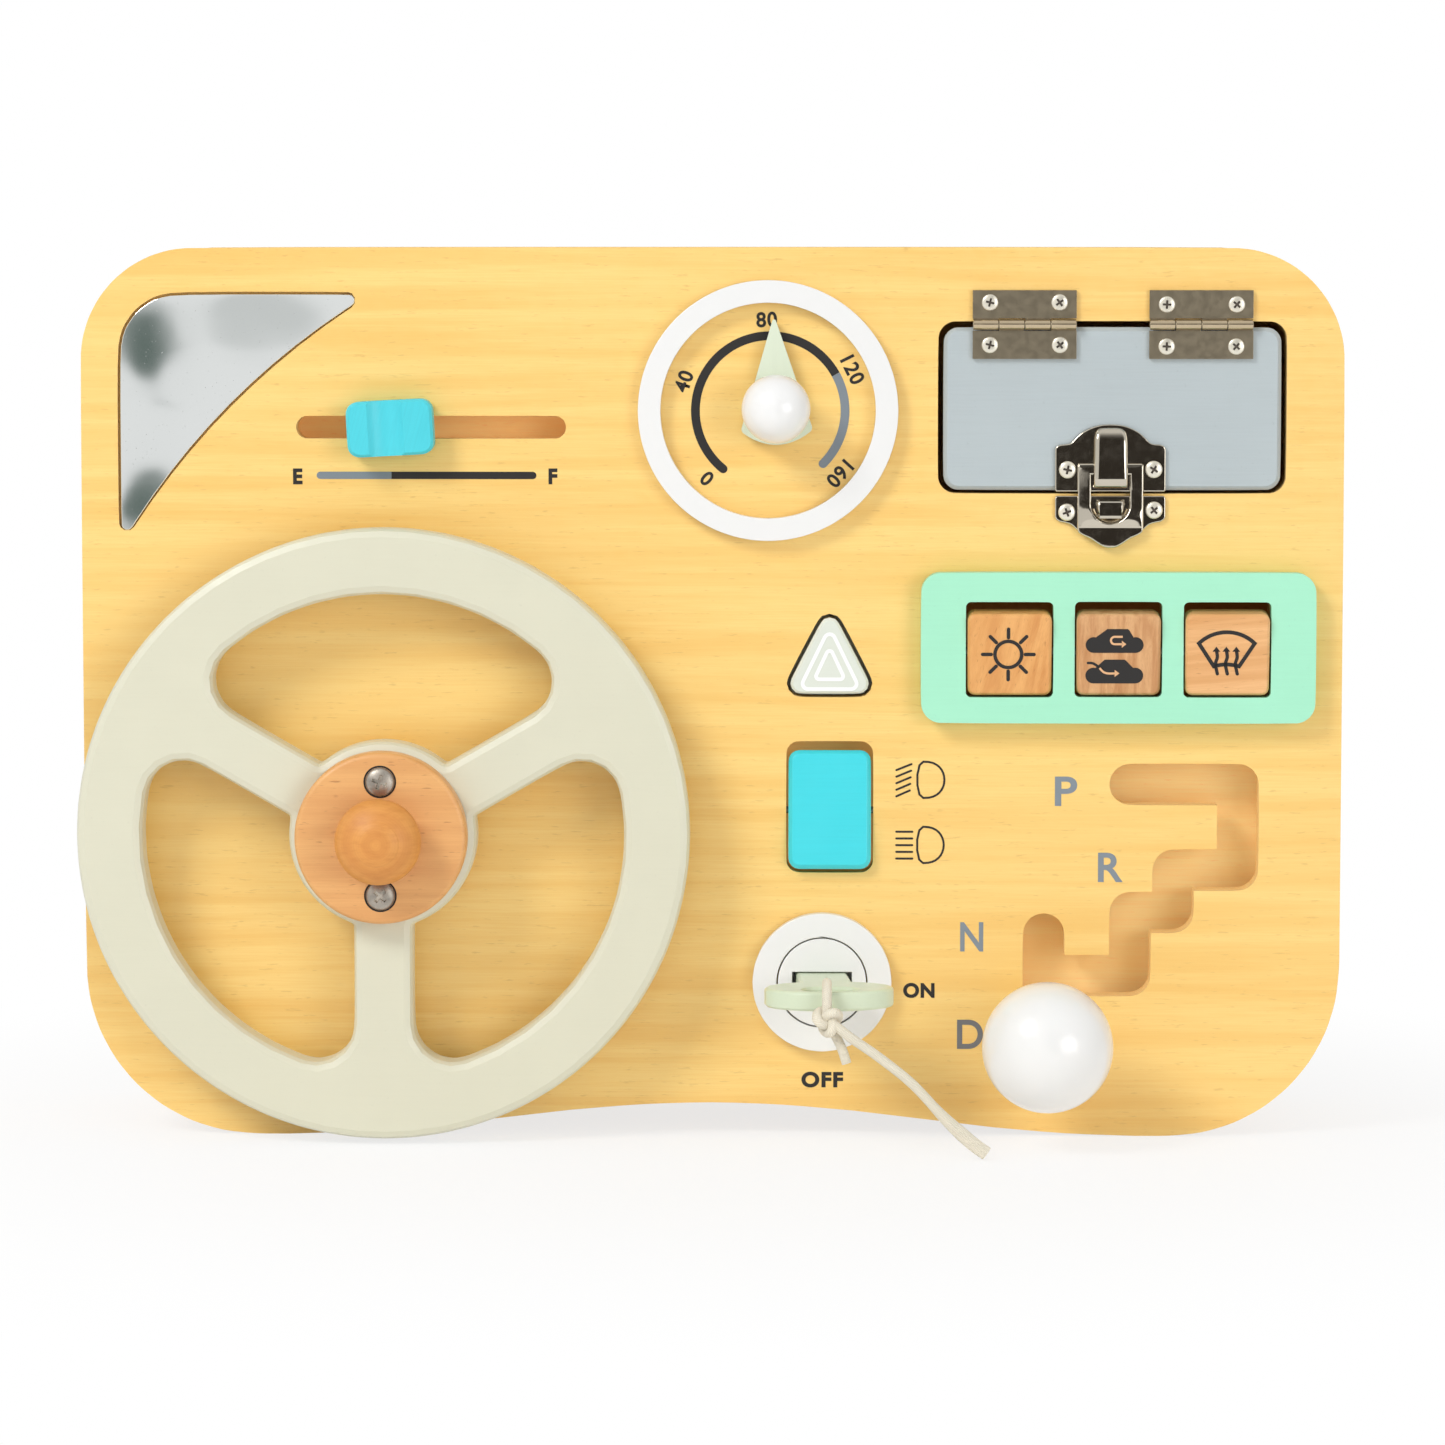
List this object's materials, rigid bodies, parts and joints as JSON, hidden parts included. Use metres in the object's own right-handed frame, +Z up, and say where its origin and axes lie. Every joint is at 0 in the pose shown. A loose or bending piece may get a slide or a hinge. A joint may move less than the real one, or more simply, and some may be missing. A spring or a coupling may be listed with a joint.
{
  "type": "steering wheel busy board",
  "caption": "Upright wooden dashboard toy with a turning steering wheel, dial, slider, mirror, latched glove box, rocker switches, ignition key on a cord and a gear lever in a stepped slot.",
  "frame": {"origin": "on the table under the middle of the board's box, measured without the free cord", "axes": "+X to the right seen from the front, -Y out of the front panel towards the child, +Z up"},
  "size_m": [0.37, 0.1329, 0.2617],
  "materials": {
    "birch": "clear matt, fine grain along X",
    "beech": "clear satin",
    "mirror_glass": "silvered acrylic",
    "turquoise_paint": "satin paint on wood",
    "white_paint": "semi-gloss paint on wood",
    "needle_paint": "satin pale green paint on wood",
    "sage_paint": "satin cream paint on wood",
    "pale_grey_paint": "satin pale grey paint on wood",
    "mint_paint": "satin mint paint on wood",
    "blue_grey_paint": "satin blue-grey paint on wood",
    "key_green_paint": "satin pale green paint on wood",
    "cotton": "waxed cotton cord",
    "steel": "bright steel",
    "nickel": "polished dark nickel"
  },
  "bodies": {
    "case": {"front_panel": "birch", "back_panel": "birch", "top_rail": "birch", "bottom_rail": "birch", "left_rail": "birch", "right_rail": "birch", "mirror": "mirror_glass", "slider_track": "birch", "dial_ring": "white_paint", "hazard_housing": "birch", "hazard_spring": "steel", "headlight_pin": "steel", "headlight_tray": "birch", "switch_frame": "mint_paint", "rocker_axle": "steel", "lock_ring": "white_paint", "gear_track": "birch", "glove_box": "birch", "left_hinge_fixed_leaf": "nickel", "left_hinge_pin": "nickel", "right_hinge_fixed_leaf": "nickel", "right_hinge_pin": "nickel", "latch_base": "nickel", "latch_base_pin": "nickel"},
    "slider": {"slider_knob": "turquoise_paint", "slider_foot": "birch"},
    "dial": {"dial_needle": "needle_paint", "dial_knob": "white_paint", "dial_pin": "steel"},
    "steering": {"steering_wheel": "sage_paint", "hub_disc": "beech", "hub_knob": "beech", "steering_spindle": "beech", "spindle_retainer": "beech", "hub_screw_upper": "steel", "hub_screw_lower": "steel"},
    "hazard": {"hazard_button": "pale_grey_paint"},
    "headlight": {"headlight_rocker": "turquoise_paint"},
    "sun_switch": {"sun_rocker": "beech"},
    "air_switch": {"air_rocker": "beech"},
    "demist_switch": {"demist_rocker": "beech"},
    "rotor": {"key_rotor": "white_paint", "rotor_retainer": "birch"},
    "key": {"key": "key_green_paint", "key_cord_loop": "cotton", "key_cord_knot": "cotton"},
    "cord_tails": {"key_cord": "cotton", "key_cord_stub": "cotton"},
    "gear": {"gear_ball": "white_paint", "gear_stick": "birch", "gear_foot": "birch"},
    "door": {"glove_door": "blue_grey_paint", "left_hinge_door_leaf": "nickel", "right_hinge_door_leaf": "nickel", "latch_strike": "nickel"},
    "link": {"latch_link": "nickel"},
    "lever": {"latch_lever": "nickel", "latch_lever_pin": "nickel"}
  },
  "joints": [
    {"name": "steering_turn", "type": "hinge", "parent": "case", "child": "steering", "pos_m": [-0.0955, -0.013, 0.091], "axis": [0, -1, 0], "continuous": true},
    {"name": "dial_turn", "type": "hinge", "parent": "case", "child": "dial", "pos_m": [0.019, -0.013, 0.215], "axis": [0, -1, 0], "continuous": true},
    {"name": "slider_slide", "type": "slide", "parent": "case", "child": "slider", "axis": [1, 0, 0], "range_m": [-0.0246, 0.0476]},
    {"name": "hazard_press", "type": "slide", "parent": "case", "child": "hazard", "axis": [0, 1, 0], "range_m": [0, 0.003], "stiffness_N_per_m": 200, "springref_m": -0.001, "deforming": ["hazard_spring"]},
    {"name": "headlight_rock", "type": "hinge", "parent": "case", "child": "headlight", "pos_m": [0.0348, -0.01, 0.09645], "axis": [1, 0, 0], "range_deg": [0, 14]},
    {"name": "sun_rock", "type": "hinge", "parent": "case", "child": "sun_switch", "pos_m": [0.0873, -0.0148, 0.1437], "axis": [-1, 0, 0], "range_deg": [0, 14]},
    {"name": "air_rock", "type": "hinge", "parent": "case", "child": "air_switch", "pos_m": [0.1191, -0.0148, 0.1437], "axis": [-1, 0, 0], "range_deg": [0, 14]},
    {"name": "demist_rock", "type": "hinge", "parent": "case", "child": "demist_switch", "pos_m": [0.1509, -0.0148, 0.1437], "axis": [-1, 0, 0], "range_deg": [0, 14]},
    {"name": "key_turn", "type": "hinge", "parent": "case", "child": "rotor", "pos_m": [0.0326, -0.013, 0.046], "axis": [0, 1, 0], "range_deg": [0, 90]},
    {"name": "key_pull", "type": "slide", "parent": "rotor", "child": "key", "axis": [0, -1, 0], "range_m": [0, 0.022]},
    {"name": "key_cord_swing", "type": "hinge", "parent": "key", "child": "cord_tails", "pos_m": [0.0342, -0.0642, 0.0414], "axis": [0, 1, 0], "range_deg": [-90, 0]},
    {"name": "gear_slide", "type": "slide", "parent": "case", "child": "gear", "axis": [0, 0, 1], "range_m": [0, 0.029]},
    {"name": "glove_door_swing", "type": "hinge", "parent": "case", "child": "door", "pos_m": [0.1172, -0.0148, 0.2393], "axis": [-1, 0, 0], "range_deg": [0, 105]},
    {"name": "latch_link_swing", "type": "hinge", "parent": "case", "child": "link", "pos_m": [0.1167, -0.0156, 0.187], "axis": [-1, 0, 0], "range_deg": [0, 60]},
    {"name": "latch_lever_swing", "type": "hinge", "parent": "link", "child": "lever", "pos_m": [0.1167, -0.0156, 0.1836], "axis": [-1, 0, 0], "range_deg": [-48, 0]}
  ],
  "couplings": [
    {"joint": "key_cord_swing", "follows": "key_turn", "ratio": -1},
    {"joint": "latch_lever_swing", "follows": "latch_link_swing", "ratio": -0.8}
  ]
}
